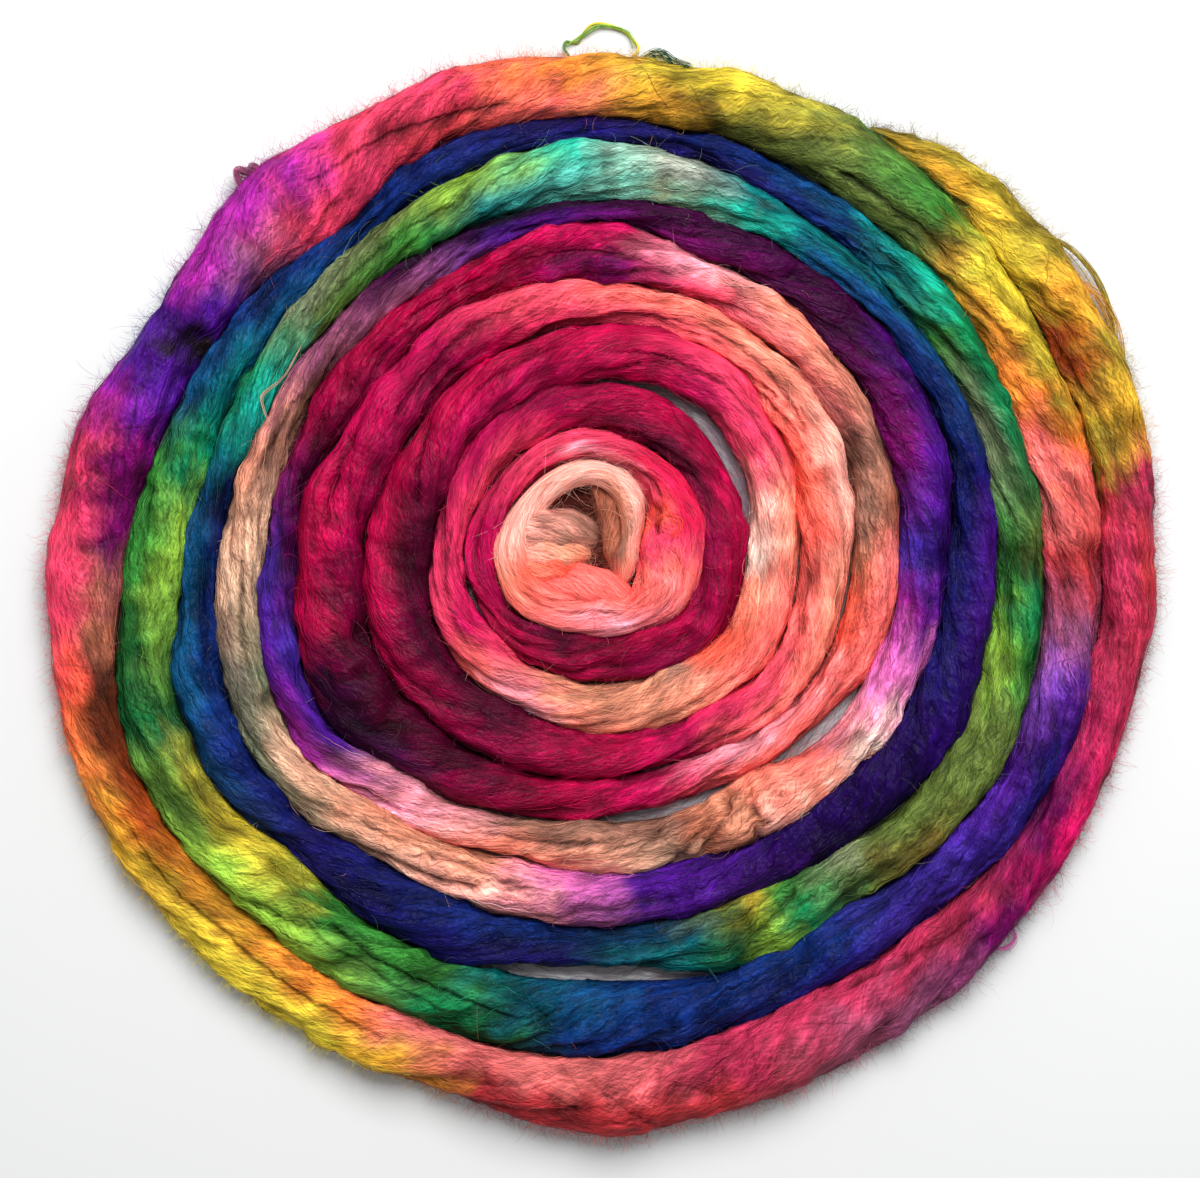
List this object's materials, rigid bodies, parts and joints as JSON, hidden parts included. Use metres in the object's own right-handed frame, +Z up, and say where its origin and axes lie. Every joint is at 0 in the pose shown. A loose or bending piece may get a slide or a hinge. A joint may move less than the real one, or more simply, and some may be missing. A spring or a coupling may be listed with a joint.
{
  "type": "coil of silk roving",
  "caption": "Hand-dyed tussah silk roving, an unspun fibre strand laid flat in a spiral coil with a folded heart, a tapered tail and a loose wisp.",
  "frame": {"origin": "on the table, at the middle of the coil's footprint", "axes": "+Z up from the table; +X and +Y in the table's plane, +Y towards the side where the loose wisp lies"},
  "size_m": [0.4405, 0.4421, 0.021],
  "materials": {
    "silk": "glossy unspun silk fibre, dyed by hand from peach and magenta through violet, blue and green to gold and raspberry",
    "wisp_silk": "a few glossy silk fibres, dyed green to yellow-green"
  },
  "bodies": {
    "root": {"roving": "silk", "loose_wisp": "wisp_silk"}
  },
  "joints": []
}
